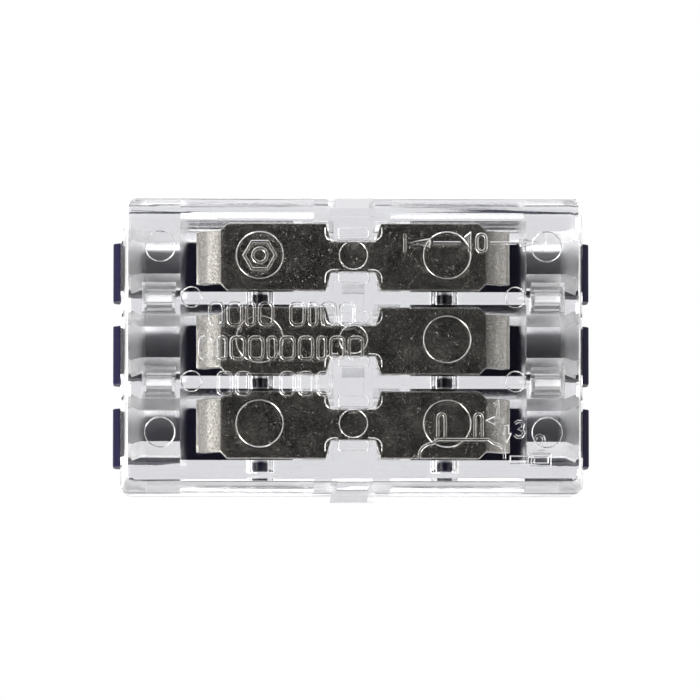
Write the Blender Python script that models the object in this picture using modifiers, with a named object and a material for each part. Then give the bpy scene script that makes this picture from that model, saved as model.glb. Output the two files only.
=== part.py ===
"""Lever wire connector: three straight-through rows in a clear two-part housing, with a wire entry, a
clamp spring and a lever at both ends of each row.

Metres, +Z up. The origin is the centre of the flat underside. X runs along the wires, Y across the rows.
"""

import math

import bmesh
import bpy
from mathutils import Matrix, Vector

MM = 0.001

# Driving dimensions
ROWS = 3
ROW_PITCH = 6.0 * MM
BODY_LENGTH = 33.3 * MM
SIDE_WALL = 1.65 * MM
FLOOR = 1.2 * MM
CLEARANCE = 0.3 * MM
RUNNING_FIT = 0.1 * MM
END_DRAFT = 0.6 * MM
SIDE_DRAFT = 0.05 * MM
COVER_DRAFT = 0.15 * MM
CORNER_RADIUS = 0.6 * MM
RIM_RADIUS = 0.25 * MM

# Rows inside the housing
ROW_WALL = 0.9 * MM
LEVER_WALL = 1.2 * MM
ENTRY_WALL = 1.9 * MM
CENTRE_WALL_HALF = 1.4 * MM
END_BLOCK = 4.35 * MM
ENTRY_HEIGHT = 4.5 * MM
ENTRY_ROOF = 1.0 * MM
LEVER_SHELF = 1.5 * MM
SPINE_ROOF = 1.4 * MM
ENTRY_CHAMFER = 0.95 * MM
ENTRY_FLARE = 0.6 * MM
FLARE_DEPTH = 1.5 * MM
CORE_WALL_X = 0.6 * MM
CORE_WALL_Y = 0.7 * MM
CORE_FLOOR = 2.2 * MM
PANEL_DEPTH = 0.2 * MM
PANEL_MARGIN = 1.2 * MM
SIDE_SLOT_WIDTH = 0.45 * MM
SIDE_SLOT_SKIN = 0.5 * MM

# Busbar
BAR_THICKNESS = 0.8 * MM
BAR_END_ROOM = 1.1 * MM
BAR_BEND_RADIUS = 2.2 * MM
BAR_BEND_ANGLE = math.radians(60)
BAR_NECK_WIDTH = 2.2 * MM
BAR_NOTCH_ROOM = 0.18 * MM
BAR_NOTCH_SLOPE = 0.37 * MM
BAR_SHOULDER = 0.5 * MM

# Clamp spring
SPRING_THICKNESS = 0.4 * MM
SPRING_SIDE_ROOM = 0.7 * MM
CURL_RADIUS = 1.2 * MM
CURL_START = -30
CURL_END = -270
LEAF_REACH = 5.6 * MM
LEAF_DROP = 1.0 * MM
LEAF_HOOK = 0.55 * MM
LEAF_KNEE = 0.12
LEAF_CROWN = 0.04

# Lever
PIVOT_X = 6.6 * MM
LEVER_OVERHANG = 0.55 * MM
LEVER_THICKNESS = 2.6 * MM
LEVER_SUNK = 0.4 * MM
HUB_RADIUS = 2.4 * MM
NOSE_RADIUS = 0.6 * MM
NOSE_ROOT = 0.75 * HUB_RADIUS
HUB_BACK_ROUND = 0.9 * HUB_RADIUS
HUB_FRONT_ROUND = 0.4 * HUB_RADIUS
HUB_CHIN_ROUND = 0.2 * HUB_RADIUS
HANDLE_ROUND = 0.8 * MM
TIP_ROUND = 0.3 * MM
TIP_CHAMFER = 0.45 * MM
STUB_RADIUS = 0.9 * MM
GRIP_RIDGES = 3
GRIP_PITCH = 0.9 * MM
GRIP_DEPTH = 0.25 * MM

# Snap hooks, dovetail rail and groove
HOOK_WIDTH = 0.6 * MM
HOOK_LENGTH = 1.8 * MM
HOOK_GAP = 0.2 * MM
BARB_WIDTH = 1.5 * MM
BARB_BOTTOM = 0.5 * MM
HOOK_WINDOW_LENGTH = 2.4 * MM
HOOK_WINDOW_WIDTH = 2.1 * MM
HOOK_WINDOW_DEPTH = 2.4 * MM
HOOK_WINDOW_WALL = 0.3 * MM
RAIL_ROOT = 2.2 * MM
RAIL_TIP = 3.15 * MM
RAIL_OUT = 0.7 * MM
RAIL_START = 1.0 * MM

# Worked out from the driving dimensions
CHANNEL_WIDTH = ROW_PITCH - ROW_WALL
LEVER_CHANNEL = ROW_PITCH - LEVER_WALL
LEVER_WIDTH = LEVER_CHANNEL - 2 * CLEARANCE
ENTRY_WIDTH = ROW_PITCH - ENTRY_WALL
BAR_WIDTH = CHANNEL_WIDTH - CLEARANCE
BAR_END_WIDTH = BAR_WIDTH - 2 * BAR_SHOULDER
SPRING_WIDTH = CHANNEL_WIDTH - 2 * SPRING_SIDE_ROOM
NOSE_WIDTH = SPRING_WIDTH - CLEARANCE
BODY_WIDTH = (ROWS - 1) * ROW_PITCH + CHANNEL_WIDTH + 2 * SIDE_WALL
HALF_LENGTH = BODY_LENGTH / 2
BLOCK_X = HALF_LENGTH - END_BLOCK
BAR_HALF_LENGTH = BLOCK_X - BAR_END_ROOM
BAR_BOTTOM = FLOOR + CLEARANCE
BAR_TOP = BAR_BOTTOM + BAR_THICKNESS
BEND_RISE = BAR_BEND_RADIUS * (1 - math.cos(BAR_BEND_ANGLE))
LIP_TOP = BAR_BOTTOM + BEND_RISE + BAR_THICKNESS / 2 * (1 + math.cos(BAR_BEND_ANGLE))
BEND_START = BAR_HALF_LENGTH - (BAR_BEND_RADIUS + BAR_THICKNESS / 2) * math.sin(BAR_BEND_ANGLE)
ENTRY_BOTTOM = LIP_TOP + RUNNING_FIT
ENTRY_TOP = ENTRY_BOTTOM + ENTRY_HEIGHT
BASE_TOP = ENTRY_TOP + ENTRY_ROOF
COVER_BOTTOM = BASE_TOP + CLEARANCE
PIVOT_Z = (BASE_TOP + COVER_BOTTOM) / 2
STUB_BORE = STUB_RADIUS + RUNNING_FIT
STUB_END = ROW_PITCH / 2 - RUNNING_FIT
CURL_OUTER = CURL_RADIUS + SPRING_THICKNESS / 2
CURL_X = CENTRE_WALL_HALF + CLEARANCE + CURL_OUTER
CURL_Z = BAR_TOP + CLEARANCE + CURL_OUTER
SHELF_TOP = COVER_BOTTOM + LEVER_SHELF
LEVER_BOTTOM = SHELF_TOP + CLEARANCE
LEVER_TOP = LEVER_BOTTOM + LEVER_THICKNESS
BODY_HEIGHT = LEVER_TOP + LEVER_SUNK
LEVER_TIP = HALF_LENGTH + LEVER_OVERHANG
SPINE_HALF = PIVOT_X - HUB_RADIUS - 2 * CLEARANCE
POCKET_TOP = BODY_HEIGHT - SPINE_ROOF
OVER = 1.0 * MM
BEND_STEPS = 6
CURL_STEPS = 14

SIDES = (("left", -1), ("right", 1))


def row_y(row):
    return (row - (ROWS - 1) / 2) * ROW_PITCH


def clear_scene():
    for obj in list(bpy.data.objects):
        bpy.data.objects.remove(obj, do_unlink=True)
    for collection in list(bpy.data.collections):
        bpy.data.collections.remove(collection)


def new_collection(name, parent=None):
    collection = bpy.data.collections.new(name)
    (parent or bpy.context.scene.collection).children.link(collection)
    return collection


def principled(name, colour, roughness, metallic=0.0, transmission=0.0):
    material = bpy.data.materials.new(name)
    material.use_nodes = True
    shader = material.node_tree.nodes["Principled BSDF"]
    shader.inputs["Base Color"].default_value = (*colour, 1.0)
    shader.inputs["Roughness"].default_value = roughness
    shader.inputs["Metallic"].default_value = metallic
    shader.inputs["Transmission Weight"].default_value = transmission
    return material


def link_mesh(name, mesh, collection):
    obj = bpy.data.objects.new(name, mesh)
    collection.objects.link(obj)
    if collection.hide_render:
        obj.hide_render = True
        obj.display_type = "WIRE"
    return obj


def box(name, low, high, collection):
    """A block between two opposite corners."""
    bm = bmesh.new()
    bmesh.ops.create_cube(bm, size=1.0)
    low, high = Vector(low), Vector(high)
    bmesh.ops.scale(bm, vec=high - low, verts=bm.verts)
    bmesh.ops.translate(bm, vec=(low + high) / 2, verts=bm.verts)
    mesh = bpy.data.meshes.new(name)
    bm.to_mesh(mesh)
    bm.free()
    return link_mesh(name, mesh, collection)


def cross_cylinder(name, x, z, radius, y_from, y_to, collection, segments=24):
    """A round bar along Y."""
    bm = bmesh.new()
    bmesh.ops.create_cone(
        bm, cap_ends=True, segments=segments, radius1=radius, radius2=radius, depth=y_to - y_from
    )
    place = Matrix.Translation((x, (y_from + y_to) / 2, z)) @ Matrix.Rotation(math.pi / 2, 4, "X")
    bmesh.ops.transform(bm, matrix=place, verts=bm.verts)
    mesh = bpy.data.meshes.new(name)
    bm.to_mesh(mesh)
    bm.free()
    return link_mesh(name, mesh, collection)


def rounded(corners, steps=4):
    """The points of a closed outline, from corners (x, y, fillet radius)."""
    points = []
    for i, (x, y, radius) in enumerate(corners):
        here = Vector((x, y))
        before = Vector(corners[i - 1][:2]) - here
        after = Vector(corners[(i + 1) % len(corners)][:2]) - here
        if radius == 0:
            points.append(here)
            continue
        half = before.angle(after) / 2
        reach = radius / math.tan(half)
        start = here + before.normalized() * reach
        end = here + after.normalized() * reach
        centre = here + (before.normalized() + after.normalized()).normalized() * radius / math.sin(half)
        sweep = (start - centre).angle_signed(end - centre)
        for step in range(steps + 1):
            turned = Matrix.Rotation(-sweep * step / steps, 2) @ (start - centre)
            points.append(centre + turned)
    return points


def ribbon(path, thickness):
    """The closed outline of a strip of even thickness along a path."""
    upper, lower = [], []
    for i, point in enumerate(path):
        before = path[max(i - 1, 0)]
        after = path[min(i + 1, len(path) - 1)]
        along = (after - before).normalized()
        normal = Vector((-along.y, along.x)) * thickness / 2
        upper.append(point + normal)
        lower.append(point - normal)
    return upper + lower[::-1]


def extruded(name, outline, width, collection, upright=True):
    """A flat outline with thickness: in the XZ plane when upright, or in the XY plane."""
    curve = bpy.data.curves.new(name, "CURVE")
    curve.dimensions = "2D"
    curve.fill_mode = "BOTH"
    curve.extrude = width / 2
    spline = curve.splines.new("POLY")
    spline.points.add(len(outline) - 1)
    for point, place in zip(spline.points, outline):
        point.co = (place.x, place.y, 0.0, 1.0)
    spline.use_cyclic_u = True
    guide = link_mesh(name + "_outline", curve, collection)
    if upright:
        guide.rotation_euler = (math.pi / 2, 0.0, 0.0)
    bpy.context.view_layer.update()
    graph = bpy.context.evaluated_depsgraph_get()
    mesh = bpy.data.meshes.new_from_object(guide.evaluated_get(graph))
    mesh.transform(guide.matrix_world)
    bpy.data.objects.remove(guide)
    bpy.data.curves.remove(curve)
    bm = bmesh.new()
    bm.from_mesh(mesh)
    bmesh.ops.remove_doubles(bm, verts=bm.verts, dist=1e-7)
    bmesh.ops.recalc_face_normals(bm, faces=bm.faces)
    bm.to_mesh(mesh)
    bm.free()
    mesh.name = name
    return link_mesh(name, mesh, collection)


def boolean(obj, operation, other):
    """Adds an exact Boolean with one object or with every object of a collection."""
    modifier = obj.modifiers.new(operation.title(), "BOOLEAN")
    modifier.operation = operation
    modifier.solver = "EXACT"
    if isinstance(other, bpy.types.Collection):
        modifier.operand_type = "COLLECTION"
        modifier.collection = other
    else:
        modifier.object = other


def finish(obj, material, smooth_angle=35):
    obj.data.materials.append(material)
    obj.data.shade_smooth()
    obj.data.set_sharp_from_angle(angle=math.radians(smooth_angle))


def drafted_shell(name, bottom, top, inset_low, inset_high, collection):
    """The outer block of a housing half: upright corners rounded, sides drafted, rims softened.

    Each inset is how far the ends and the sides stand in from the full size, at the bottom or the top.
    """
    half = Vector((HALF_LENGTH, BODY_WIDTH / 2))
    shell = box(name, (-half.x, -half.y, bottom), (half.x, half.y, top), collection)
    bm = bmesh.new()
    bm.from_mesh(shell.data)
    for vert in bm.verts:
        inset = inset_low if vert.co.z < (bottom + top) / 2 else inset_high
        vert.co.x -= math.copysign(inset[0], vert.co.x)
        vert.co.y -= math.copysign(inset[1], vert.co.y)
    upright = [e for e in bm.edges if abs(e.verts[0].co.z - e.verts[1].co.z) > (top - bottom) / 2]
    bmesh.ops.bevel(
        bm, geom=upright, offset=CORNER_RADIUS, segments=4, profile=0.5, affect="EDGES", clamp_overlap=True
    )
    bm.to_mesh(shell.data)
    bm.free()
    soften = shell.modifiers.new("Rim", "BEVEL")
    soften.width = RIM_RADIUS
    soften.segments = 2
    soften.limit_method = "ANGLE"
    soften.angle_limit = math.radians(50)
    return shell


def saddles(collection):
    """Two round bars that cut the lever seats across every wall between the rows."""
    reach = (ROWS - 1) / 2 * ROW_PITCH + STUB_END + RUNNING_FIT
    for side, sign in SIDES:
        cross_cylinder("saddle_" + side, sign * PIVOT_X, PIVOT_Z, STUB_BORE, -reach, reach, collection)


def span(sign, near, far):
    """Low and high X of a stretch between two distances from the middle, on one side."""
    return sorted((sign * near, sign * far))


def entry_bore(name, sign, near, far, y, grow, collection):
    """A chamfered bore along X between two distances from the middle, wider by grow at its far end."""
    x_low, x_high = span(sign, near, far)
    half = ENTRY_WIDTH / 2
    bore = box(name, (x_low, y - half, ENTRY_BOTTOM), (x_high, y + half, ENTRY_TOP), collection)
    middle = (ENTRY_BOTTOM + ENTRY_TOP) / 2
    bm = bmesh.new()
    bm.from_mesh(bore.data)
    lengthwise = [e for e in bm.edges if abs(e.verts[0].co.x - e.verts[1].co.x) > (far - near) / 2]
    bmesh.ops.bevel(
        bm, geom=lengthwise, offset=ENTRY_CHAMFER, segments=1, profile=0.5, affect="EDGES", clamp_overlap=True
    )
    for vert in bm.verts:
        if sign * vert.co.x > (near + far) / 2:
            vert.co.y += math.copysign(grow, vert.co.y - y)
            vert.co.z += math.copysign(grow, vert.co.z - middle)
    bm.to_mesh(bore.data)
    bm.free()
    return bore


def hook_places():
    """Centres (x, y) of the cover's snap hooks, on the walls between the wire entries."""
    x = BLOCK_X + HOOK_WINDOW_WALL + HOOK_WINDOW_LENGTH / 2
    for row in range(ROWS - 1):
        for _, sign in SIDES:
            yield sign * x, (row_y(row) + row_y(row + 1)) / 2


def rail_outline():
    """Plan of the dovetail rail on the +Y side."""
    root, tip, wall = RAIL_ROOT / 2, RAIL_TIP / 2, BODY_WIDTH / 2
    return [
        Vector((-root, wall - SIDE_WALL / 2)),
        Vector((root, wall - SIDE_WALL / 2)),
        Vector((root, wall)),
        Vector((tip, wall + RAIL_OUT)),
        Vector((-tip, wall + RAIL_OUT)),
        Vector((-root, wall)),
    ]


def cut_groove(collection):
    """The dovetail groove on the -Y side: closed near the underside, open at the top of the cover."""
    mouth, floor, wall = RAIL_ROOT / 2 + RUNNING_FIT, RAIL_TIP / 2 + RUNNING_FIT, -BODY_WIDTH / 2
    outline = [
        Vector((-mouth, wall - OVER)),
        Vector((mouth, wall - OVER)),
        Vector((mouth, wall)),
        Vector((floor, wall + RAIL_OUT + RUNNING_FIT)),
        Vector((-floor, wall + RAIL_OUT + RUNNING_FIT)),
        Vector((-mouth, wall)),
    ]
    bottom, top = RAIL_START - CLEARANCE, BODY_HEIGHT + OVER
    groove = extruded("side_groove", outline, top - bottom, collection, upright=False)
    groove.location.z = (bottom + top) / 2


def cut_side_panels(collection):
    """Shallow panels sunk in both long sides of the base, on each side of the middle."""
    bottom, top = 2 * PANEL_MARGIN, BASE_TOP - PANEL_MARGIN
    for long_side, y in (("rail", 1), ("groove", -1)):
        for side, sign in SIDES:
            x_low, x_high = span(sign, RAIL_TIP / 2 + PANEL_MARGIN, BLOCK_X)
            y_low, y_high = span(y, BODY_WIDTH / 2 - PANEL_DEPTH, BODY_WIDTH / 2 + OVER)
            name = f"panel_{long_side}_{side}"
            box(name, (x_low, y_low, bottom), (x_high, y_high, top), collection)


def cut_side_slots(collection):
    """Slots that hollow the cover's two long side walls from below."""
    for long_side, y in (("rail", 1), ("groove", -1)):
        for side, sign in SIDES:
            x_low, x_high = span(sign, RAIL_TIP / 2 + PANEL_MARGIN, BLOCK_X)
            outer = BODY_WIDTH / 2 - SIDE_SLOT_SKIN
            y_low, y_high = span(y, outer - SIDE_SLOT_WIDTH, outer)
            name = f"slot_{long_side}_{side}"
            box(name, (x_low, y_low, COVER_BOTTOM - OVER), (x_high, y_high, POCKET_TOP), collection)


def add_hook(name, x, y, collection):
    """A snap hook of the cover: a flat leg with a barb on both faces at its lower end."""
    half = HOOK_LENGTH / 2
    box(
        name + "_leg",
        (x - half, y - HOOK_WIDTH / 2, BARB_BOTTOM + CLEARANCE),
        (x + half, y + HOOK_WIDTH / 2, COVER_BOTTOM + OVER),
        collection,
    )
    low = (x - half, y - BARB_WIDTH / 2, BARB_BOTTOM)
    high = (x + half, y + BARB_WIDTH / 2, HOOK_WINDOW_DEPTH - CLEARANCE)
    barb = box(name + "_barb", low, high, collection)
    for vert in barb.data.vertices:
        if vert.co.z < (low[2] + high[2]) / 2:
            vert.co.y -= math.copysign((BARB_WIDTH - HOOK_WIDTH) / 2, vert.co.y - y)


def make_housing_base(parts, cutters, clear):
    base = drafted_shell("housing_base", 0.0, BASE_TOP, (END_DRAFT, SIDE_DRAFT), (0.0, 0.0), parts)
    adds = new_collection("base_adds", cutters)
    cuts = new_collection("base_cuts", cutters)
    adds.hide_render = cuts.hide_render = True

    rail = extruded("side_rail", rail_outline(), BASE_TOP - RAIL_START, adds, upright=False)
    rail.location.z = (BASE_TOP + RAIL_START) / 2

    cut_groove(cuts)
    cut_side_panels(cuts)

    half = CHANNEL_WIDTH / 2
    neck_half = BAR_NECK_WIDTH / 2 + RUNNING_FIT
    for row in range(ROWS):
        y = row_y(row)
        box(
            f"neck_slot_{row + 1}",
            (-CENTRE_WALL_HALF - OVER, y - neck_half, FLOOR),
            (CENTRE_WALL_HALF + OVER, y + neck_half, BASE_TOP + OVER),
            cuts,
        )
        for side, sign in SIDES:
            tag = f"{side}_{row + 1}"
            x_low, x_high = span(sign, CENTRE_WALL_HALF, BLOCK_X)
            box("chamber_" + tag, (x_low, y - half, FLOOR), (x_high, y + half, BASE_TOP + OVER), cuts)
            entry_bore("entry_" + tag, sign, BLOCK_X - OVER, HALF_LENGTH + OVER, y, 0.0, cuts)
            grow = ENTRY_FLARE * (FLARE_DEPTH + OVER) / FLARE_DEPTH
            entry_bore("mouth_" + tag, sign, HALF_LENGTH - FLARE_DEPTH, HALF_LENGTH + OVER, y, grow, cuts)
    for gap in range(ROWS - 1):
        y = (row_y(gap) + row_y(gap + 1)) / 2
        core_x = CENTRE_WALL_HALF - CORE_WALL_X
        core_y = ROW_PITCH / 2 - neck_half - CORE_WALL_Y
        box(f"core_{gap + 1}", (-core_x, y - core_y, CORE_FLOOR), (core_x, y + core_y, BASE_TOP + OVER), cuts)
    for i, (x, y) in enumerate(hook_places()):
        half_x, half_y = HOOK_LENGTH / 2 + HOOK_GAP, HOOK_WIDTH / 2 + HOOK_GAP
        low, high = (x - half_x, y - half_y, 0.0), (x + half_x, y + half_y, BASE_TOP + OVER)
        box(f"hook_slot_{i + 1}", low, high, cuts)
        half_x, half_y = HOOK_WINDOW_LENGTH / 2, HOOK_WINDOW_WIDTH / 2
        low, high = (x - half_x, y - half_y, -OVER), (x + half_x, y + half_y, HOOK_WINDOW_DEPTH)
        box(f"hook_window_{i + 1}", low, high, cuts)
    saddles(cuts)

    boolean(base, "UNION", adds)
    boolean(base, "DIFFERENCE", cuts)
    finish(base, clear)


def make_housing_cover(parts, cutters, clear):
    inset = (COVER_DRAFT, COVER_DRAFT)
    cover = drafted_shell("housing_cover", COVER_BOTTOM, BODY_HEIGHT, (0.0, 0.0), inset, parts)
    adds = new_collection("cover_adds", cutters)
    cuts = new_collection("cover_cuts", cutters)
    adds.hide_render = cuts.hide_render = True

    half = LEVER_CHANNEL / 2
    below, above = COVER_BOTTOM - OVER, BODY_HEIGHT + OVER
    for row in range(ROWS):
        y = row_y(row)
        tongue_half = BAR_NECK_WIDTH / 2 - RUNNING_FIT
        box(
            f"bar_keeper_{row + 1}",
            (-CENTRE_WALL_HALF + RUNNING_FIT, y - tongue_half, BAR_TOP + CLEARANCE),
            (CENTRE_WALL_HALF - RUNNING_FIT, y + tongue_half, COVER_BOTTOM + OVER),
            adds,
        )
        for side, sign in SIDES:
            tag = f"{side}_{row + 1}"
            y_low, y_high = y - half, y + half
            x_low, x_high = span(sign, CENTRE_WALL_HALF, SPINE_HALF + OVER)
            box("roof_pocket_" + tag, (x_low, y_low, below), (x_high, y_high, POCKET_TOP), cuts)
            x_low, x_high = span(sign, SPINE_HALF, BLOCK_X)
            box("lever_well_" + tag, (x_low, y_low, below), (x_high, y_high, above), cuts)
            x_low, x_high = span(sign, BLOCK_X - OVER, HALF_LENGTH + OVER)
            box("lever_bed_" + tag, (x_low, y_low, SHELF_TOP), (x_high, y_high, above), cuts)
            x_low, x_high = span(sign, CURL_X - CURL_RADIUS, CURL_X + SPRING_THICKNESS)
            keeper = NOSE_WIDTH / 2
            box(
                "spring_keeper_" + tag,
                (x_low, y - keeper, CURL_Z + CURL_OUTER + CLEARANCE),
                (x_high, y + keeper, POCKET_TOP + SPINE_ROOF / 2),
                adds,
            )
    for i, (x, y) in enumerate(hook_places()):
        add_hook(f"hook_{i + 1}", x, y, adds)
    cut_groove(cuts)
    cut_side_slots(cuts)
    saddles(cuts)

    boolean(cover, "DIFFERENCE", cuts)
    boolean(cover, "UNION", adds)
    finish(cover, clear)


def bar_side_path():
    """Side view of the busbar's middle line, with both ends curved up."""
    centre = Vector((BEND_START, BAR_BOTTOM + BAR_THICKNESS / 2 + BAR_BEND_RADIUS))
    right = []
    for step in range(BEND_STEPS + 1):
        angle = BAR_BEND_ANGLE * step / BEND_STEPS
        right.append(centre + Vector((math.sin(angle), -math.cos(angle))) * BAR_BEND_RADIUS)
    left = [Vector((-p.x, p.y)) for p in reversed(right)]
    return left + right


def bar_plan():
    """Plan of the busbar: full width, narrower bent ends and a waist between two notches."""
    wide, end, neck = BAR_WIDTH / 2, BAR_END_WIDTH / 2, BAR_NECK_WIDTH / 2
    notch = CENTRE_WALL_HALF + BAR_NOTCH_ROOM
    quarter = [
        Vector((BAR_HALF_LENGTH + OVER, end)),
        Vector((BEND_START + BAR_SHOULDER, end)),
        Vector((BEND_START, wide)),
        Vector((notch + BAR_NOTCH_SLOPE, wide)),
        Vector((notch, neck)),
    ]
    mirrored_x = [Vector((-p.x, p.y)) for p in reversed(quarter)]
    upper = quarter + mirrored_x
    return upper + [Vector((p.x, -p.y)) for p in reversed(upper)]


def make_busbar(row, parts, cutters, copper):
    name = f"busbar_{row + 1}"
    bar = extruded(name, ribbon(bar_side_path(), BAR_THICKNESS), BAR_WIDTH + OVER, parts)
    plan = extruded(name + "_plan", bar_plan(), 4 * BAR_BEND_RADIUS + OVER, cutters, upright=False)
    plan.location.z = BAR_BOTTOM + BAR_BEND_RADIUS
    plan.parent = bar
    bar.location.y = row_y(row)
    boolean(bar, "INTERSECT", plan)
    finish(bar, copper)


def spring_path():
    """Side view of a spring's middle line about its curl: the open curl, the leaf and its hooked end."""
    curl = []
    for step in range(CURL_STEPS + 1):
        angle = math.radians(CURL_START + (CURL_END - CURL_START) * step / CURL_STEPS)
        curl.append(Vector((CURL_RADIUS * math.cos(angle), CURL_RADIUS * math.sin(angle))))
    tip = Vector((LEAF_REACH, -LEAF_DROP))
    shoulder = curl[-1].lerp(tip, LEAF_KNEE)
    shoulder.y = curl[-1].y - LEAF_CROWN * CURL_RADIUS
    hook = tip + Vector((LEAF_HOOK / 3, -LEAF_HOOK / 2))
    return curl + [shoulder, tip, hook]


def make_spring(row, side, sign, parts, steel):
    name = f"clamp_spring_{side}_{row + 1}"
    outline = [Vector((sign * p.x, p.y)) for p in ribbon(spring_path(), SPRING_THICKNESS)]
    spring = extruded(name, outline, SPRING_WIDTH, parts)
    spring.location = (sign * CURL_X, row_y(row), CURL_Z)
    finish(spring, steel)


def handle_outline():
    """Side view of a lever's hub and handle about its pivot."""
    top, bottom = LEVER_TOP - PIVOT_Z, LEVER_BOTTOM - PIVOT_Z
    tip = LEVER_TIP - PIVOT_X
    low_top = PIVOT_X - SPINE_HALF - 2 * CLEARANCE
    rise = BODY_HEIGHT - PIVOT_Z + CLEARANCE
    return rounded(
        [
            (-HUB_RADIUS, -HUB_RADIUS, HUB_BACK_ROUND),
            (HUB_RADIUS - HUB_FRONT_ROUND / 2, -HUB_RADIUS, HUB_FRONT_ROUND),
            (HUB_RADIUS, bottom - CLEARANCE, HUB_CHIN_ROUND),
            (rise, bottom, HUB_CHIN_ROUND),
            (tip - TIP_CHAMFER, bottom, TIP_ROUND),
            (tip, bottom + TIP_CHAMFER, TIP_ROUND),
            (tip, top, 2 * TIP_ROUND),
            (rise + top - low_top, top, HANDLE_ROUND),
            (rise, low_top, HANDLE_ROUND),
            (HUB_FRONT_ROUND, HUB_RADIUS, HUB_FRONT_ROUND),
            (-HUB_RADIUS, HUB_RADIUS, HUB_BACK_ROUND),
        ]
    )


def nose_outline():
    """Side view of the cam nose that holds the spring down, about the pivot."""
    leaf_slope = (CURL_RADIUS + LEAF_DROP) / LEAF_REACH
    leaf_z = CURL_Z + CURL_RADIUS - (PIVOT_X - CURL_X) * leaf_slope
    reach = PIVOT_Z - leaf_z - SPRING_THICKNESS / 2 - 2 * CLEARANCE
    root, half = NOSE_ROOT, 1.2 * NOSE_RADIUS
    return rounded(
        [
            (-root, 0.0, 0.0),
            (-half, -reach, NOSE_RADIUS),
            (half, -reach, NOSE_RADIUS),
            (root, 0.0, 0.0),
        ]
    )


def make_lever(row, side, sign, parts, cutters, blue):
    name = f"lever_{side}_{row + 1}"
    pivot = Vector((sign * PIVOT_X, row_y(row), PIVOT_Z))
    handle = [Vector((sign * p.x, p.y)) for p in handle_outline()]
    nose = [Vector((sign * p.x, p.y)) for p in nose_outline()]
    lever = extruded(name, handle, LEVER_WIDTH, parts)
    lever.location = pivot
    adds = new_collection(name + "_adds", cutters)
    cuts = new_collection(name + "_cuts", cutters)
    adds.hide_render = cuts.hide_render = True
    extruded(name + "_nose", nose, NOSE_WIDTH, adds)
    cross_cylinder(name + "_stubs", 0.0, 0.0, STUB_RADIUS, -STUB_END, STUB_END, adds)
    tip = LEVER_TIP - PIVOT_X
    top = LEVER_TOP - PIVOT_Z
    for ridge in range(GRIP_RIDGES):
        x = sign * (tip - GRIP_PITCH * (ridge + 1))
        groove = cross_cylinder(
            f"{name}_grip_{ridge + 1}", x, top, GRIP_DEPTH, -LEVER_WIDTH, LEVER_WIDTH, cuts, segments=8
        )
        groove.parent = lever
    for obj in adds.objects:
        obj.parent = lever
    boolean(lever, "UNION", adds)
    boolean(lever, "DIFFERENCE", cuts)
    finish(lever, blue)


def main():
    clear_scene()
    parts = new_collection("lever_wire_connector")
    cutters = new_collection("cutters")
    cutters.hide_render = True
    clear = principled("clear_polycarbonate", (0.95, 0.96, 0.97), 0.08, transmission=1.0)
    copper = principled("tinned_copper", (0.60, 0.58, 0.54), 0.32, metallic=1.0)
    steel = principled("spring_steel", (0.72, 0.71, 0.68), 0.22, metallic=1.0)
    blue = principled("navy_nylon", (0.02, 0.02, 0.09), 0.42)
    make_housing_base(parts, cutters, clear)
    make_housing_cover(parts, cutters, clear)
    for row in range(ROWS):
        make_busbar(row, parts, cutters, copper)
        for side, sign in SIDES:
            make_spring(row, side, sign, parts, steel)
            make_lever(row, side, sign, parts, cutters, blue)


main()
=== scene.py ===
import bpy
import bmesh
import math
from mathutils import Matrix, Vector


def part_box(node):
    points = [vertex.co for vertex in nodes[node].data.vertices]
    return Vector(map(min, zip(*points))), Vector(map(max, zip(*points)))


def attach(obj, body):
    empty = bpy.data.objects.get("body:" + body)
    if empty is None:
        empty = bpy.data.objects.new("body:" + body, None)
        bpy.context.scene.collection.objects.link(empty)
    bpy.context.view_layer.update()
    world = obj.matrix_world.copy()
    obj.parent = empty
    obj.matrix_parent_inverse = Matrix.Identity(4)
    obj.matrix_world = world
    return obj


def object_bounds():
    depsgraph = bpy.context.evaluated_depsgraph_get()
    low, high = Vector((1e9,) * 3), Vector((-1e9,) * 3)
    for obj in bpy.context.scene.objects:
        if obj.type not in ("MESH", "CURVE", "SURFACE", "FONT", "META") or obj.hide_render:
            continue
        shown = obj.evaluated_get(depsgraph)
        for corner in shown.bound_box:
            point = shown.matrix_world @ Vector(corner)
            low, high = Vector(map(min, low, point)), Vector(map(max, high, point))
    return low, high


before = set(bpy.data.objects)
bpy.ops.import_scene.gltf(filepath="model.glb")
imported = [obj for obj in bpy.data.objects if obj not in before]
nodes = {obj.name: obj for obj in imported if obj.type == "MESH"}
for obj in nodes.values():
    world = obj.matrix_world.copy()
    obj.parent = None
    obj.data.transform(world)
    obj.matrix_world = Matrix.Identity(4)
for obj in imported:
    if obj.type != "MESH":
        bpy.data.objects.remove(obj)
cadLow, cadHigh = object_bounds()
mm = 0.001
sides = (("left", -1), ("right", 1))
rows = (1, 2, 3)
print("frame loaded:", len(nodes), "nodes")

# places that the marks and the camera need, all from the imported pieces
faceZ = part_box("housing_base")[0].z
rowY = [sum(corner.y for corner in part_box(f"busbar_{row}")) / 2 for row in rows]


def newMaterial(name):
    material = bpy.data.materials.new(name)
    material.use_nodes = True
    tree = material.node_tree
    coords = tree.nodes.new("ShaderNodeTexCoord").outputs["Object"]
    return material, tree, tree.nodes["Principled BSDF"], coords


def grainNoise(tree, coords, grain, detail=3.0, stretch=(1, 1, 1), rough=0.5):
    # grain is the size of one blotch, in metres
    place = tree.nodes.new("ShaderNodeMapping")
    place.inputs["Scale"].default_value = stretch
    tree.links.new(coords, place.inputs["Vector"])
    noise = tree.nodes.new("ShaderNodeTexNoise")
    noise.inputs["Scale"].default_value = 1 / grain
    noise.inputs["Detail"].default_value = detail
    noise.inputs["Roughness"].default_value = rough
    tree.links.new(place.outputs["Vector"], noise.inputs["Vector"])
    return noise.outputs["Fac"]


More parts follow.
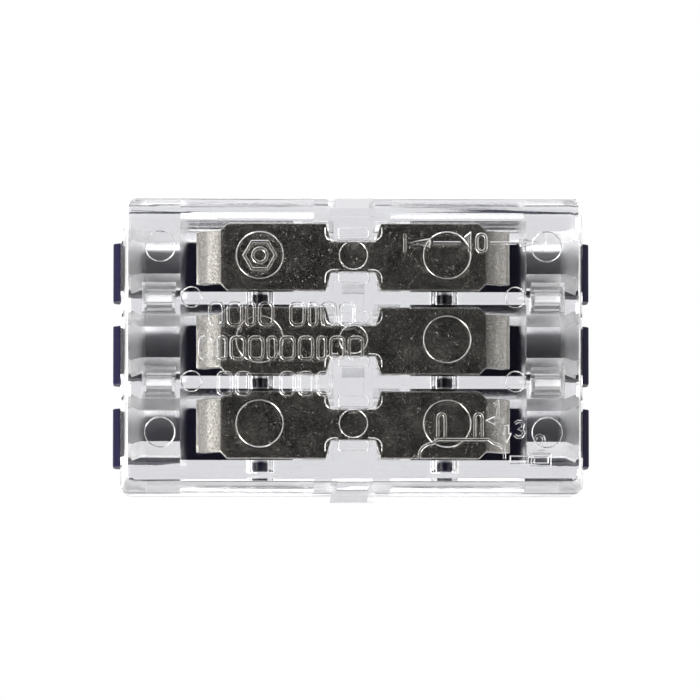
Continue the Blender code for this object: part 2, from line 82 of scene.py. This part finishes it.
def colourRamp(tree, value, stops):
    node = tree.nodes.new("ShaderNodeValToRGB")
    while len(node.color_ramp.elements) < len(stops):
        node.color_ramp.elements.new(0.5)
    for element, (place, colour) in zip(node.color_ramp.elements, stops):
        element.position = place
        element.color = (*colour, 1.0)
    tree.links.new(value, node.inputs["Fac"])
    return node.outputs["Color"]


def remap(tree, value, fromRange, toRange):
    node = tree.nodes.new("ShaderNodeMapRange")
    node.inputs["From Min"].default_value, node.inputs["From Max"].default_value = fromRange
    node.inputs["To Min"].default_value, node.inputs["To Max"].default_value = toRange
    tree.links.new(value, node.inputs["Value"])
    return node.outputs["Result"]


def mathNode(tree, operation, *values):
    node = tree.nodes.new("ShaderNodeMath")
    node.operation = operation
    for socket, value in zip(node.inputs, values):
        if isinstance(value, (int, float)):
            socket.default_value = value
        else:
            tree.links.new(value, socket)
    return node.outputs["Value"]


def addBump(tree, shader, height, depth, strength, below=None):
    node = tree.nodes.new("ShaderNodeBump")
    node.inputs["Distance"].default_value = depth
    node.inputs["Strength"].default_value = strength
    tree.links.new(height, node.inputs["Height"])
    if below is not None:
        tree.links.new(below, node.inputs["Normal"])
    tree.links.new(node.outputs["Normal"], shader.inputs["Normal"])
    return node.outputs["Normal"]


# clear moulded polycarbonate
clearLook = {
    "tint": [(0.25, (0.945, 0.946, 0.960)), (0.75, (0.985, 0.986, 0.990))],
    "indexOfRefraction": 1.57,
    "polish": (0.01, 0.07),
    "flowGrain": 2.6 * mm,
    "flowStretch": (0.4, 1.0, 1.0),
    "flowDepth": 0.030 * mm,
    "toolGrain": 0.30 * mm,
    "toolStretch": (0.25, 1.0, 1.0),
    "toolDepth": 0.010 * mm,
    "uprightSlope": (0.3, 0.8),
    "dustGrain": 0.14 * mm,
    "dustShare": (0.45, 0.75),
    "dustDepth": 0.0015 * mm,
    "frost": 0.20,
    "mouthFrost": 0.34,
    "mouthFromX": (14.7 * mm, 15.3 * mm),
    "frostFromX": (11.6 * mm, 12.0 * mm),
    "frostToX": (16.35 * mm, 16.5 * mm),
    "frostFromZ": (0.25 * mm, 0.45 * mm),
    "frostToZ": (8.3 * mm, 8.6 * mm),
}


def makeClear(look):
    material, tree, shader, coords = newMaterial("clearPolycarbonate")
    flow = grainNoise(tree, coords, look["flowGrain"], 2.0, look["flowStretch"])
    tool = grainNoise(tree, coords, look["toolGrain"], 3.0, look["toolStretch"])
    dust = grainNoise(tree, coords, look["dustGrain"], 4.0)
    tree.links.new(colourRamp(tree, flow, look["tint"]), shader.inputs["Base Color"])
    # the entries and hook windows at both ends are spark-eroded, so they look frosted
    place = tree.nodes.new("ShaderNodeSeparateXYZ")
    tree.links.new(coords, place.inputs["Vector"])
    endwards = mathNode(tree, "ABSOLUTE", place.outputs["X"])
    frosted = mathNode(
        tree, "ADD",
        remap(tree, endwards, look["frostFromX"], (0.0, look["frost"])),
        remap(tree, endwards, look["mouthFromX"], (0.0, look["mouthFrost"])),
    )
    for socket, limits, share in (
        (endwards, look["frostToX"], (1.0, 0.0)),
        (place.outputs["Z"], look["frostFromZ"], (0.0, 1.0)),
        (place.outputs["Z"], look["frostToZ"], (1.0, 0.0)),
    ):
        frosted = mathNode(tree, "MULTIPLY", frosted, remap(tree, socket, limits, share))
    polish = remap(tree, dust, look["dustShare"], look["polish"])
    tree.links.new(mathNode(tree, "ADD", polish, frosted), shader.inputs["Roughness"])
    shader.inputs["Transmission Weight"].default_value = 1.0
    shader.inputs["IOR"].default_value = look["indexOfRefraction"]
    # tool marks only on the upright faces, where the mould was milled
    normal = tree.nodes["Texture Coordinate"].outputs["Normal"]
    split = tree.nodes.new("ShaderNodeSeparateXYZ")
    tree.links.new(normal, split.inputs["Vector"])
    slope = mathNode(tree, "ABSOLUTE", split.outputs["Z"])
    upright = remap(tree, slope, look["uprightSlope"], (1.0, 0.0))
    marked = mathNode(tree, "MULTIPLY", tool, upright)
    first = addBump(tree, shader, flow, look["flowDepth"], 0.35)
    second = addBump(tree, shader, marked, look["toolDepth"], 0.6, first)
    addBump(tree, shader, dust, look["dustDepth"], 0.5, second)
    return material


# tin plate on copper for the busbars, and bright rolled steel for the springs
tinLook = {
    "name": "tinnedCopper",
    "cloudShare": (0.3, 0.7),
    "tones": [(0.32, (0.34, 0.325, 0.30)), (0.52, (0.48, 0.465, 0.43)), (0.70, (0.66, 0.64, 0.59))],
    "gloss": (0.13, 0.24),
    "grain": 0.13 * mm,
    "stretch": (1, 1, 1),
    "grainDepth": 0.0025 * mm,
    "blotch": 1.8 * mm,
    "waveDepth": 0.012 * mm,
    "pitGrain": 0.11 * mm,
    "pitShare": (0.66, 0.74),
    "pitDepth": 0.020 * mm,
}
steelLook = {
    "name": "springSteel",
    "cloudShare": (0.3, 0.7),
    "tones": [(0.30, (0.52, 0.51, 0.48)), (0.55, (0.66, 0.65, 0.62)), (0.75, (0.84, 0.83, 0.79))],
    "gloss": (0.12, 0.24),
    "grain": 0.08 * mm,
    "stretch": (0.15, 1, 1),
    "grainDepth": 0.003 * mm,
    "blotch": 2.4 * mm,
    "waveDepth": 0.010 * mm,
    "pitGrain": 0.12 * mm,
    "pitShare": (0.66, 0.74),
    "pitDepth": 0.012 * mm,
}


def makeMetal(look):
    material, tree, shader, coords = newMaterial(look["name"])
    grain = grainNoise(tree, coords, look["grain"], 4.0, look["stretch"], 0.6)
    blotch = grainNoise(tree, coords, look["blotch"], 3.0)
    pits = remap(tree, grainNoise(tree, coords, look["pitGrain"], 2.0), look["pitShare"], (0.0, 1.0))
    tree.links.new(colourRamp(tree, grain, look["tones"]), shader.inputs["Base Color"])
    tree.links.new(remap(tree, blotch, look["cloudShare"], look["gloss"]), shader.inputs["Roughness"])
    shader.inputs["Metallic"].default_value = 1.0
    first = addBump(tree, shader, blotch, look["waveDepth"], 0.4)
    second = addBump(tree, shader, grain, look["grainDepth"], 0.8, first)
    addBump(tree, shader, pits, look["pitDepth"], 1.0, second)
    return material


# satin navy nylon, paler where the corners are rubbed
navyLook = {
    "tones": [(0.3, (0.006, 0.005, 0.023)), (0.6, (0.008, 0.007, 0.032)), (0.8, (0.012, 0.010, 0.044))],
    "rubbed": (0.024, 0.022, 0.062),
    "rubbedWhere": (0.52, 0.60),
    "rubbedMost": 0.7,
    "gloss": (0.34, 0.52),
    "glossShare": (0.3, 0.7),
    "sheen": 0.10,
    "cloud": 2.4 * mm,
    "grain": 0.10 * mm,
    "grainDepth": 0.005 * mm,
}


def makeNavy(look):
    material, tree, shader, coords = newMaterial("navyNylon")
    cloud = grainNoise(tree, coords, look["cloud"], 3.0)
    grain = grainNoise(tree, coords, look["grain"], 3.0)
    edge = tree.nodes.new("ShaderNodeNewGeometry").outputs["Pointiness"]
    worn = tree.nodes.new("ShaderNodeMix")
    worn.data_type = "RGBA"
    worn.inputs["B"].default_value = (*look["rubbed"], 1.0)
    rubbed = remap(tree, edge, look["rubbedWhere"], (0.0, look["rubbedMost"]))
    tree.links.new(rubbed, worn.inputs["Factor"])
    tree.links.new(colourRamp(tree, cloud, look["tones"]), worn.inputs["A"])
    tree.links.new(worn.outputs["Result"], shader.inputs["Base Color"])
    tree.links.new(remap(tree, grain, look["glossShare"], look["gloss"]), shader.inputs["Roughness"])
    shader.inputs["Specular IOR Level"].default_value = look["sheen"]
    addBump(tree, shader, grain, look["grainDepth"], 0.5)
    return material


clearMaterial = makeClear(clearLook)
tinMaterial = makeMetal(tinLook)
steelMaterial = makeMetal(steelLook)
navyMaterial = makeNavy(navyLook)
print("materials made")

# how each family is finished: edge radius, steps round the edge, material and slot
# (the two clear halves keep their crisp mould edges)
finishes = {
    "housing_base": (0, 0, clearMaterial, "clear_housing"),
    "housing_cover": (0, 0, clearMaterial, "clear_housing"),
    "busbar": (0.06 * mm, 2, tinMaterial, "tinned_busbar"),
    "clamp_spring": (0.05 * mm, 2, steelMaterial, "spring_steel"),
    "lever": (0.09 * mm, 2, navyMaterial, "navy_lever"),
}
smoothAngle = math.radians(32)
flatAngle = math.radians(1.0)
weldReach = 0.002 * mm


def roundEdges(piece, width, segments):
    weld = piece.modifiers.new("weld", "WELD")
    weld.merge_threshold = weldReach
    if not width:
        return
    flat = piece.modifiers.new("flats", "DECIMATE")  # each flat is one face, so its edges round evenly
    flat.decimate_type = "DISSOLVE"
    flat.angle_limit = flatAngle
    bevel = piece.modifiers.new("edges", "BEVEL")
    bevel.width = width
    bevel.segments = segments
    bevel.limit_method = "ANGLE"
    bevel.angle_limit = smoothAngle
    bevel.use_clamp_overlap = False


def finishPiece(piece, width, segments, material, slotName):
    roundEdges(piece, width, segments)
    piece.data.materials.clear()
    piece.data.materials.append(material)
    piece.data.shade_smooth()
    piece.data.set_sharp_from_angle(angle=smoothAngle)


for nodeName, node in nodes.items():
    for family, finish in finishes.items():
        if nodeName.startswith(family):
            finishPiece(node, *finish)
print("edges rounded")


# strokes sunk into a face: a path in the plane of the face, a width and a depth
def arcPoints(x, y, radius, fromDegrees, toDegrees, steps):
    points = []
    for i in range(steps + 1):
        angle = math.radians(fromDegrees + (toDegrees - fromDegrees) * i / steps)
        points.append(Vector((x + radius * math.cos(angle), y + radius * math.sin(angle))))
    return points


def ring(x, y, radius, steps=48):
    return arcPoints(x, y, radius, 0, 360, steps)[:-1]


def roundedSlot(x, y, width, height, radius, steps=4):
    points = []
    for i, (sx, sy) in enumerate(((1, 1), (-1, 1), (-1, -1), (1, -1))):
        centreX, centreY = x + sx * (width / 2 - radius), y + sy * (height / 2 - radius)
        points += arcPoints(centreX, centreY, radius, 90 * i, 90 * i + 90, steps)
    return points


def rectangle(x, y, width, height):
    corners = ((1, 1), (-1, 1), (-1, -1), (1, -1))
    return [Vector((x + sx * width / 2, y + sy * height / 2)) for sx, sy in corners]


def arrow(tip, turn, headLength, headHalf, shaftLength, shaftHalf):
    # points along -X before it is turned, in degrees
    outline = [
        (0, 0), (headLength, headHalf), (headLength, shaftHalf), (headLength + shaftLength, shaftHalf),
        (headLength + shaftLength, -shaftHalf), (headLength, -shaftHalf), (headLength, -headHalf),
    ]
    return [Vector(tip) + Matrix.Rotation(math.radians(turn), 2) @ Vector(point) for point in outline]


proudShare = 0.4  # how far a cutter stands clear of the face, as a share of its depth
sharpestMitre = 0.5


def addStroke(bm, points, closed, width, depth, floorShare):
    # floorShare 0 gives a V-shaped groove, more than 0 a flat floor between sloping sides
    count = len(points)
    proud = depth * proudShare
    half = width / 2
    if floorShare:
        section = [(half, -proud), (-half, -proud), (-half * floorShare, depth), (half * floorShare, depth)]
    else:
        section = [(half, -proud), (-half, -proud), (0.0, depth)]
    stations = []
    for i, point in enumerate(points):
        before = point - points[i - 1] if closed or i else points[1] - point
        after = points[(i + 1) % count] - point if closed or i < count - 1 else before
        before, after = before.normalized(), after.normalized()
        along = (before + after).normalized()
        across = Vector((-along.y, along.x)) / max(sharpestMitre, along.dot(before))
        stations.append([
            bm.verts.new((point.x + across.x * offset, point.y + across.y * offset, faceZ + rise))
            for offset, rise in section
        ])
    for i in range(count if closed else count - 1):
        here, there = stations[i], stations[(i + 1) % count]
        for j in range(len(section)):
            k = (j + 1) % len(section)
            bm.faces.new((here[j], here[k], there[k], there[j]))
    if not closed:
        bm.faces.new(stations[0])
        bm.faces.new(stations[-1])


def sinkStrokes(piece, body, name, strokes, look):
    bm = bmesh.new()
    for points, closed in strokes:
        addStroke(bm, points, closed, look["width"], look["depth"], look["floorShare"])
    bmesh.ops.triangulate(bm, faces=bm.faces)
    bmesh.ops.recalc_face_normals(bm, faces=bm.faces)
    mesh = bpy.data.meshes.new(name)
    bm.to_mesh(mesh)
    bm.free()
    cutter = bpy.data.objects.new(name, mesh)
    bpy.context.scene.collection.objects.link(cutter)
    cutter.hide_render = True
    cutter.display_type = "WIRE"
    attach(cutter, body)
    cut = piece.modifiers.new(name, "BOOLEAN")
    cut.operation = "DIFFERENCE"
    cut.solver = "EXACT"
    cut.use_self = True
    cut.object = cutter


# witness rings left by the ejector pins
pinRings = {
    "width": 0.12 * mm,
    "depth": 0.10 * mm,
    "floorShare": 0,
    "barRadius": 1.67 * mm,
    "barX": 6.65 * mm,
    "middleRadius": 1.0 * mm,
    "endRadius": 1.07 * mm,
    "endX": 13.72 * mm,
    "endShift": 0.62 * mm,
    "wallRadius": 0.72 * mm,
    "wallX": 11.5 * mm,
}


def pinRingStrokes(look):
    paths = []
    for row, y in zip(rows, rowY):
        paths.append(ring(0, y, look["middleRadius"]))
        for side, sign in sides:
            paths.append(ring(sign * look["barX"], y, look["barRadius"], 72))
            if row != 2:
                paths.append(ring(sign * look["endX"], y + (row - 2) * look["endShift"], look["endRadius"]))
    for lower, upper in zip(rowY, rowY[1:]):
        for side, sign in sides:
            paths.append(ring(sign * look["wallX"], (lower + upper) / 2, look["wallRadius"], 32))
    return [(path, True) for path in paths]


# mould lines round the centre blocks, beside the necks of the bars
blockLines = {
    "cornerX": 2.02 * mm,
    "cornerY": 1.03 * mm,
    "radius": 0.6 * mm,
    "run": 0.35 * mm,
    "panelShift": 1.58 * mm,
    "panelSize": (2.15 * mm, 0.72 * mm),
    "panelRadius": 0.18 * mm,
}


def blockStrokes(look):
    strokes = []
    radius = look["radius"]
    for y in rowY:
        for way in (-1, 1):
            inner = y + way * look["cornerY"]
            panel = roundedSlot(0, y + way * look["panelShift"], *look["panelSize"], look["panelRadius"])
            strokes.append((panel, True))
            for side, sign in sides:
                path = [(look["cornerX"] - radius - look["run"], inner)]
                for point in arcPoints(0, 0, radius, 90, 0, 6):
                    path.append((look["cornerX"] - radius + point.x, inner + way * (radius - point.y)))
                path.append((look["cornerX"], inner + way * (radius + look["run"])))
                strokes.append(([Vector((sign * px, py)) for px, py in path], False))
    return strokes


# numerals as open strokes, one unit high about their middle
numerals = {
    "1": [[(-0.22, -0.28), (0.04, -0.5), (0.04, 0.5)]],
    "2": [
        [
            (-0.28, -0.22), (-0.2, -0.42), (0.0, -0.5), (0.2, -0.42), (0.27, -0.22), (0.16, 0.0),
            (-0.28, 0.48), (0.3, 0.48),
        ],
    ],
    "3": [
        [
            (-0.26, -0.36), (-0.1, -0.49), (0.12, -0.48), (0.24, -0.3), (0.2, -0.1), (0.06, -0.02),
            (0.2, 0.06), (0.28, 0.24), (0.16, 0.45), (-0.1, 0.49), (-0.28, 0.36),
        ],
    ],
}


def numeralStrokes(text, x, y, height):
    strokes = []
    for shape in numerals[text]:
        strokes.append(([Vector((x + px * height, y + py * height)) for px, py in shape], False))
    return strokes


# strip-length gauge beside the first row, an outline nut, and rows of plain slots
engraving = {
    "width": 0.26 * mm,
    "depth": 0.15 * mm,
    "floorShare": 0.42,
    "gaugeX": 3.65 * mm,
    "gaugeLength": 9.95 * mm,
    "gaugeShift": -0.90 * mm,
    "tickHeight": 1.3 * mm,
    "numeralX": 8.65 * mm,
    "numeralHeight": 1.25 * mm,
    "numeralGap": 0.44 * mm,
    "numeralRoom": 0.65,
    "zeroWidth": 0.52,
    "headLength": 1.5 * mm,
    "nutX": -6.65 * mm,
    "nutRadius": 1.12 * mm,
    "nutHole": 0.45,
    "slotHeight": 1.55 * mm,
    "slotRadius": 0.34 * mm,
    "slotLines": [
        (-10.2 * mm, -1.80 * mm, "wwnw wnww"),
        (-10.9 * mm, 0.62 * mm, "wnwwnwwnww"),
        (-9.6 * mm, 3.15 * mm, "ww  www"),
    ],
    "slotWidths": {"w": 0.95 * mm, "n": 0.55 * mm, " ": 0.55 * mm},
    "slotSpace": 0.36 * mm,
}


def gaugeStrokes(look):
    y = rowY[0] + look["gaugeShift"]
    start, end = look["gaugeX"], look["gaugeX"] + look["gaugeLength"]
    strokes = []
    tickHalf = look["tickHeight"] / 2
    for x in (start, end):
        strokes.append(([Vector((x, y - tickHalf)), Vector((x, y + tickHalf))], False))
    numberHalf = look["numeralHeight"] * look["numeralRoom"] + look["width"]
    headEnd = look["headLength"] + 2 * look["width"]
    for x, inner in ((start, look["numeralX"] - numberHalf), (end, look["numeralX"] + numberHalf)):
        sign = math.copysign(1, inner - x)
        strokes.append(([Vector((x + sign * headEnd, y)), Vector((inner, y))], False))
    strokes += numeralStrokes("1", look["numeralX"] - look["numeralGap"], y, look["numeralHeight"])
    zeroX, zeroWidth = look["numeralX"] + look["numeralGap"], look["zeroWidth"] * look["numeralHeight"]
    zero = roundedSlot(zeroX, y, zeroWidth, look["numeralHeight"], 0.25 * look["numeralHeight"])
    return strokes + [(zero, True)]


def slotRowStrokes(look):
    strokes = []
    for x, shift, pattern in look["slotLines"]:
        for mark in pattern:
            width = look["slotWidths"][mark]
            if mark != " ":
                radius = min(look["slotRadius"], width * 0.45)
                slot = roundedSlot(x + width / 2, rowY[1] + shift, width, look["slotHeight"], radius)
                strokes.append((slot, True))
            x += width + look["slotSpace"]
    return strokes


def nutStrokes(look):
    x, y, radius = look["nutX"], rowY[0], look["nutRadius"]
    return [(ring(x, y, radius, 6), True), (ring(x, y, radius * look["nutHole"], 24), True)]


# pictogram of how the wire goes in: a housing, two raised levers, arrows and a stripped wire
pictogram = {
    "origin": (4.65 * mm, 2.45 * mm),
    "housing": [(0, 0), (0.05, 0.45), (0.25, 0.75), (0.6, 0.98), (0.95, 1.05), (1.3, 1.32), (4.95, 1.32),
                (5.3, 1.05), (5.7, 0.92), (5.98, 0.62), (6.05, 0.2), (6.05, -0.05)],
    "leverX": (1.33, 3.95),
    "leverWidth": 0.52,
    "leverFoot": 1.52,
    "leverTop": 3.15,
    "numerals": [("1", 5.55, 3.45), ("3", 7.1, 2.05), ("2", 8.55, 1.05)],
    "numeralHeight": 1.15,
    "closingArrow": ((4.75, 2.68), 0),
    "pressingArrow": ((6.2, 1.12), -90),
    "wireY": -0.12,
    "wire": [(6.45, 7.72, 0.5), (7.95, 9.35, 0.86), (8.16, 9.14, 0.44)],
}


def pictogramPoint(look, x, y):
    # x to the right and y up, in millimetres from the foot of the housing
    return Vector((look["origin"][0] + x * mm, rowY[2] + look["origin"][1] - y * mm))


def pictogramStrokes(look):
    strokes = [([pictogramPoint(look, x, y) for x, y in look["housing"]], False)]
    half = look["leverWidth"] / 2
    for x in look["leverX"]:
        top = look["leverTop"] - half
        path = [(x, look["leverFoot"])]
        path += [(x + half + point.x, top + point.y) for point in arcPoints(0, 0, half, 180, 0, 6)]
        path += [(x + 2 * half, look["leverFoot"])]
        strokes.append(([pictogramPoint(look, px, py) for px, py in path], False))
    for text, x, y in look["numerals"]:
        place = pictogramPoint(look, x, y)
        strokes += numeralStrokes(text, place.x, place.y, look["numeralHeight"] * mm)
    return strokes


# single fine lines: arrows and the wire
fineLines = {
    "width": 0.14 * mm,
    "depth": 0.13 * mm,
    "floorShare": 0,
    "gaugeHeadHalf": 0.27 * mm,
    "gaugeShaft": (0.06 * mm, 0.1 * mm),
    "wiringArrow": (0.62 * mm, 0.3 * mm, 0.6 * mm, 0.13 * mm),
}


def fineStrokes(look, gauge, picture):
    y = rowY[0] + gauge["gaugeShift"]
    head = (gauge["headLength"], look["gaugeHeadHalf"], *look["gaugeShaft"])
    start = gauge["gaugeX"] + gauge["width"]
    end = gauge["gaugeX"] + gauge["gaugeLength"] - gauge["width"]
    paths = [arrow((start, y), 0, *head), arrow((end, y), 180, *head)]
    for tip, turn in (picture["closingArrow"], picture["pressingArrow"]):
        paths.append(arrow(pictogramPoint(picture, *tip), turn, *look["wiringArrow"]))
    for near, far, height in picture["wire"]:
        middle = pictogramPoint(picture, (near + far) / 2, picture["wireY"])
        paths.append(rectangle(middle.x, middle.y, (far - near) * mm, height * mm))
    return [(path, True) for path in paths]


base = nodes["housing_base"]
sinkStrokes(base, "housing", "mouldLines", pinRingStrokes(pinRings) + blockStrokes(blockLines), pinRings)
engraved = gaugeStrokes(engraving) + slotRowStrokes(engraving) + nutStrokes(engraving)
sinkStrokes(base, "housing", "engraving", engraved + pictogramStrokes(pictogram), engraving)
sinkStrokes(base, "housing", "fineLines", fineStrokes(fineLines, engraving, pictogram), fineLines)
print("underside marked")

for node in nodes.values():
    if "edges" not in node.modifiers:
        creases = node.modifiers.new("creases", "EDGE_SPLIT")
        creases.split_angle = smoothAngle
    weighted = node.modifiers.new("faceNormals", "WEIGHTED_NORMAL")
    weighted.keep_sharp = True

# floor, tent and lamps
stageLook = {
    "floorSize": 0.9,
    "floorTone": (0.86, 0.86, 0.865),
    "background": (1.0, 1.0, 1.0, 1.0),
    "tentLeft": [
        (0.0, (0.032, 0.032, 0.032)), (0.035, (0.040, 0.040, 0.039)), (0.10, (1.60, 1.59, 1.55)),
        (0.24, (2.00, 1.98, 1.94)), (0.38, (1.10, 1.10, 1.10)), (0.50, (0.86, 0.86, 0.88)),
        (0.70, (0.88, 0.88, 0.90)), (1.0, (0.90, 0.90, 0.92)),
    ],
    "tentRight": [
        (0.0, (0.022, 0.022, 0.022)), (0.045, (0.028, 0.028, 0.027)), (0.12, (0.38, 0.38, 0.37)),
        (0.28, (0.62, 0.62, 0.61)), (0.42, (0.74, 0.74, 0.74)), (0.50, (0.66, 0.66, 0.68)),
        (0.70, (0.74, 0.74, 0.76)), (1.0, (0.90, 0.90, 0.92)),
    ],
    "blend": (-0.45, 0.45),
}
softboxes = [
    ("keyLight", (-0.30, -0.25, 0.45), 0.75, 4.0),
    ("fillLight", (0.38, 0.20, 0.30), 0.70, 1.8),
    ("underLight", (-0.35, 0.30, -0.28), 0.22, 3.0),
]


def makeFloor(look):
    # solid from above, and clear from below so that the underside can be seen
    half = look["floorSize"] / 2
    z = cadLow.z - 0.05 * mm
    mesh = bpy.data.meshes.new("floor")
    corners = [(-half, -half, z), (half, -half, z), (half, half, z), (-half, half, z)]
    mesh.from_pydata(corners, [], [(0, 1, 2, 3)])
    floor = bpy.data.objects.new("floor", mesh)
    bpy.context.scene.collection.objects.link(floor)
    material = bpy.data.materials.new("paleFloor")
    material.use_nodes = True
    tree = material.node_tree
    shader = tree.nodes["Principled BSDF"]
    shader.inputs["Base Color"].default_value = (*look["floorTone"], 1.0)
    shader.inputs["Roughness"].default_value = 0.9
    clear = tree.nodes.new("ShaderNodeBsdfTransparent")
    facing = tree.nodes.new("ShaderNodeNewGeometry").outputs["Backfacing"]
    passed = tree.nodes.new("ShaderNodeLightPath").outputs["Transparent Depth"]
    mix = tree.nodes.new("ShaderNodeMixShader")
    seenThrough = mathNode(tree, "MAXIMUM", facing, mathNode(tree, "MINIMUM", passed, 1.0))
    tree.links.new(seenThrough, mix.inputs["Fac"])
    tree.links.new(shader.outputs["BSDF"], mix.inputs[1])
    tree.links.new(clear.outputs["BSDF"], mix.inputs[2])
    tree.links.new(mix.outputs["Shader"], tree.nodes["Material Output"].inputs["Surface"])
    mesh.materials.append(material)
    floor.visible_shadow = False
    floor.visible_diffuse = False
    floor.visible_glossy = False


def makeTent(look):
    # bright all round and brighter on the left, with a dark card straight below the part
    world = bpy.data.worlds.new("tent")
    bpy.context.scene.world = world
    world.use_nodes = True
    tree = world.node_tree
    coords = tree.nodes.new("ShaderNodeTexCoord").outputs["Generated"]
    split = tree.nodes.new("ShaderNodeSeparateXYZ")
    tree.links.new(coords, split.inputs["Vector"])
    rise = remap(tree, split.outputs["Z"], (-1.0, 1.0), (0.0, 1.0))
    tent = tree.nodes.new("ShaderNodeMix")
    tent.data_type = "RGBA"
    tree.links.new(remap(tree, split.outputs["X"], look["blend"], (0.0, 1.0)), tent.inputs["Factor"])
    tree.links.new(colourRamp(tree, rise, look["tentLeft"]), tent.inputs["A"])
    tree.links.new(colourRamp(tree, rise, look["tentRight"]), tent.inputs["B"])
    seen = tree.nodes.new("ShaderNodeLightPath").outputs["Is Camera Ray"]
    mix = tree.nodes.new("ShaderNodeMix")
    mix.data_type = "RGBA"
    mix.inputs["B"].default_value = look["background"]
    tree.links.new(seen, mix.inputs["Factor"])
    tree.links.new(tent.outputs["Result"], mix.inputs["A"])
    tree.links.new(mix.outputs["Result"], tree.nodes["Background"].inputs["Color"])


def makeLamps():
    for name, place, size, power in softboxes:
        lamp = bpy.data.lights.new(name, "AREA")
        lamp.size = size
        lamp.energy = power
        lamp.color = (1.0, 0.99, 0.975)
        light = bpy.data.objects.new(name, lamp)
        light.location = place
        light.rotation_euler = (-Vector(place)).to_track_quat("-Z", "Y").to_euler()
        bpy.context.scene.collection.objects.link(light)


cameraLook = {
    "distance": 0.590,
    "tilt": math.radians(5.9),
    "turn": math.radians(0.9),
    "frameWidth": 49.65 * mm,
    "aim": (-0.25 * mm, 0.77 * mm),
}


def makeCamera(look):
    # looks up at the flat underside, a few degrees off square
    lens = bpy.data.cameras.new("camera")
    lens.sensor_width = 36.0
    lens.lens = lens.sensor_width * look["distance"] / look["frameWidth"]
    lens.clip_start, lens.clip_end = 0.01, 10.0
    camera = bpy.data.objects.new("camera", lens)
    bpy.context.scene.collection.objects.link(camera)
    tilt, turn = look["tilt"], look["turn"]
    forward = Vector((math.sin(turn) * math.cos(tilt), -math.sin(tilt), math.cos(turn) * math.cos(tilt)))
    right = forward.cross(Vector((0, -1, 0))).normalized()
    up = right.cross(forward)
    target = Vector((*look["aim"], faceZ))
    turned = Matrix((right, up, -forward)).transposed().to_4x4()
    camera.matrix_world = Matrix.Translation(target - forward * look["distance"]) @ turned
    bpy.context.scene.camera = camera


makeFloor(stageLook)
makeTent(stageLook)
makeLamps()
makeCamera(cameraLook)
scene = bpy.context.scene
scene.view_settings.view_transform = "Standard"
scene.cycles.max_bounces = 24
scene.cycles.transmission_bounces = 24
scene.cycles.glossy_bounces = 8
scene.cycles.transparent_max_bounces = 16
print("stage set")
